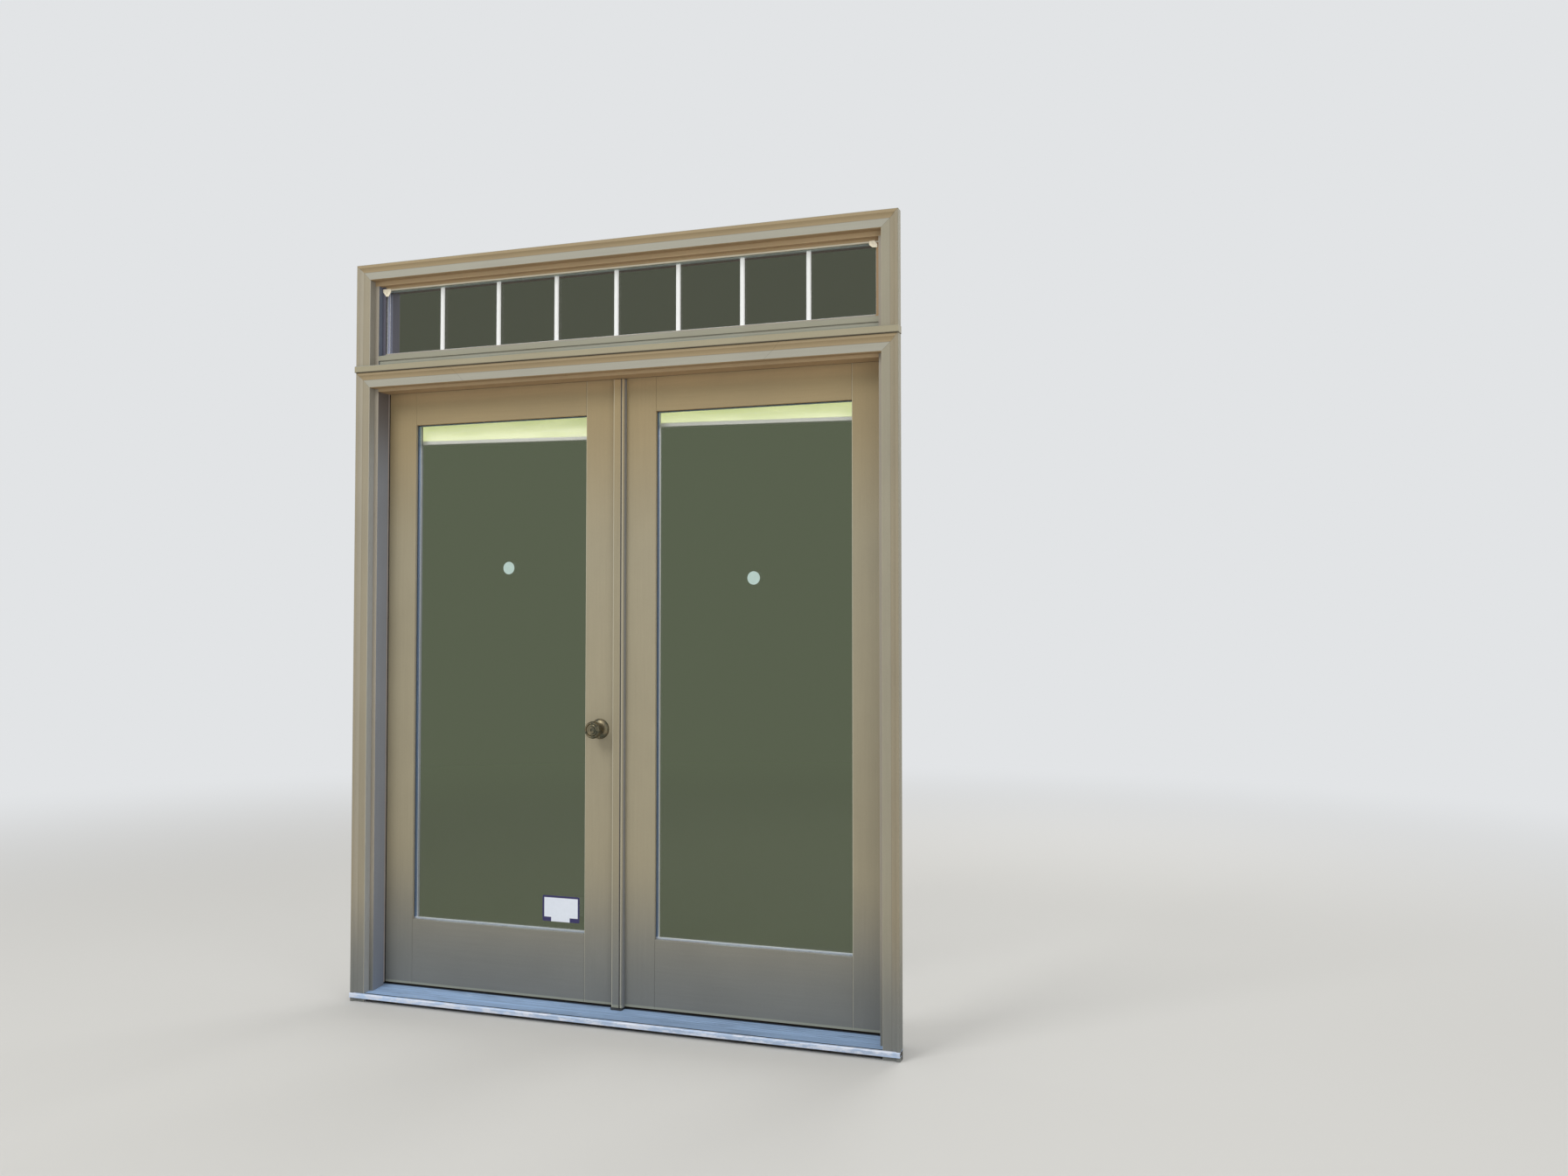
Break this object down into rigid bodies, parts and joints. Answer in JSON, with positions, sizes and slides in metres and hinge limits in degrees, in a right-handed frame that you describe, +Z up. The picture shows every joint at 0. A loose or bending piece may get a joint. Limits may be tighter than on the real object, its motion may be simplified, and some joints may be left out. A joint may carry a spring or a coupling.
{
  "type": "french doors",
  "caption": "Inward-opening pair of full-glass timber doors in a moulded frame, with sill, astragal, knob set and a fixed transom light above.",
  "frame": {"origin": "underside of the sill, at mid width, in the plane of the wall's outer face", "axes": "+X to the right seen from outside, +Y into the house, +Z up"},
  "size_m": [1.908, 0.223, 2.5],
  "materials": {
    "casing_paint": "taupe exterior paint, weathered satin",
    "jamb_paint": "taupe exterior paint, weathered satin",
    "leaf_paint": "khaki exterior paint, weathered satin",
    "sill_aluminium": "mill finish, oxidised and scuffed",
    "base_timber": "bare treated timber",
    "cap_timber": "varnished hardwood",
    "glass": "clear float glass",
    "spacer_metal": "dull roll-formed strip",
    "white_bars": "white enamel",
    "seal_rubber": "matt foam and vinyl",
    "cream_plastic": "moulded, sun-bleached",
    "blind_cloth": "pleated cloth",
    "hinge_steel": "plated steel",
    "aged_brass": "dark antique brass, worn",
    "lock_steel": "zinc-plated pressings"
  },
  "bodies": {
    "frame": {"left_jamb": "jamb_paint", "right_jamb": "jamb_paint", "head_jamb": "jamb_paint", "sill": "sill_aluminium", "sill_base": "base_timber", "threshold_cap": "cap_timber", "meeting_pad": "seal_rubber", "bolt_strikes": "aged_brass", "weatherstrips": "seal_rubber", "left_casing": "casing_paint", "right_casing": "casing_paint", "head_casing": "casing_paint", "drip_cap": "casing_paint", "transom_left_casing": "casing_paint", "transom_right_casing": "casing_paint", "transom_head_casing": "casing_paint", "transom_side_jambs": "jamb_paint", "transom_head_jamb": "jamb_paint", "transom_sill": "jamb_paint", "transom_outer_stops": "jamb_paint", "transom_inner_stops": "jamb_paint", "corner_clips": "cream_plastic", "transom_panes": "glass", "transom_spacer": "spacer_metal", "transom_bars": "white_bars", "hinge_frame_plates": "hinge_steel", "hinge_pins": "hinge_steel"},
    "left_leaf": {"left_hinge_stile": "leaf_paint", "left_lock_stile": "leaf_paint", "left_top_rail": "leaf_paint", "left_bottom_rail": "leaf_paint", "left_inner_beads": "leaf_paint", "left_panes": "glass", "left_spacer": "spacer_metal", "left_sweep": "seal_rubber", "left_blind": "blind_cloth", "left_hinge_plates": "hinge_steel", "knob_roses": "aged_brass", "lock_chassis": "lock_steel", "latch_case": "lock_steel"},
    "right_leaf": {"right_hinge_stile": "leaf_paint", "right_meeting_stile": "leaf_paint", "right_top_rail": "leaf_paint", "right_bottom_rail": "leaf_paint", "right_inner_beads": "leaf_paint", "right_panes": "glass", "right_spacer": "spacer_metal", "right_sweep": "seal_rubber", "right_blind": "blind_cloth", "right_hinge_plates": "hinge_steel", "astragal": "leaf_paint", "strike_plate": "aged_brass", "bolt_guides": "aged_brass"},
    "knobs": {"outside_knob": "aged_brass", "inside_knob": "aged_brass"},
    "latch_bolt": {"latch_bolt": "aged_brass"},
    "turn_button": {"turn_button": "aged_brass"},
    "key_plug": {"key_plug": "aged_brass"},
    "upper_flush_bolt": {"upper_flush_bolt": "aged_brass"},
    "lower_flush_bolt": {"lower_flush_bolt": "aged_brass"}
  },
  "joints": [
    {"name": "left_leaf_swing", "type": "hinge", "parent": "frame", "child": "left_leaf", "pos_m": [-0.8957, 0.1243, 1], "axis": [0, 0, 1], "range_deg": [0, 110]},
    {"name": "right_leaf_swing", "type": "hinge", "parent": "frame", "child": "right_leaf", "pos_m": [0.8957, 0.1243, 1], "axis": [0, 0, -1], "range_deg": [0, 110]},
    {"name": "knob_turn", "type": "hinge", "parent": "left_leaf", "child": "knobs", "pos_m": [-0.0715, 0.09475, 0.93], "axis": [0, 1, 0], "range_deg": [0, 60], "stiffness_Nm_per_rad": 0.4},
    {"name": "latch_slide", "type": "slide", "parent": "left_leaf", "child": "latch_bolt", "axis": [-1, 0, 0], "range_m": [0, 0.0115]},
    {"name": "button_turn", "type": "hinge", "parent": "knobs", "child": "turn_button", "pos_m": [-0.0715, 0.17, 0.93], "axis": [0, 1, 0], "range_deg": [0, 90]},
    {"name": "plug_turn", "type": "hinge", "parent": "knobs", "child": "key_plug", "pos_m": [-0.0715, 0.02, 0.93], "axis": [0, 1, 0], "range_deg": [0, 90]},
    {"name": "upper_bolt_slide", "type": "slide", "parent": "right_leaf", "child": "upper_flush_bolt", "axis": [0, 0, 1], "range_m": [0, 0.014]},
    {"name": "lower_bolt_slide", "type": "slide", "parent": "right_leaf", "child": "lower_flush_bolt", "axis": [0, 0, -1], "range_m": [0, 0.014]}
  ],
  "couplings": [
    {"joint": "latch_slide", "follows": "knob_turn", "m_per_rad": 0.0105}
  ]
}
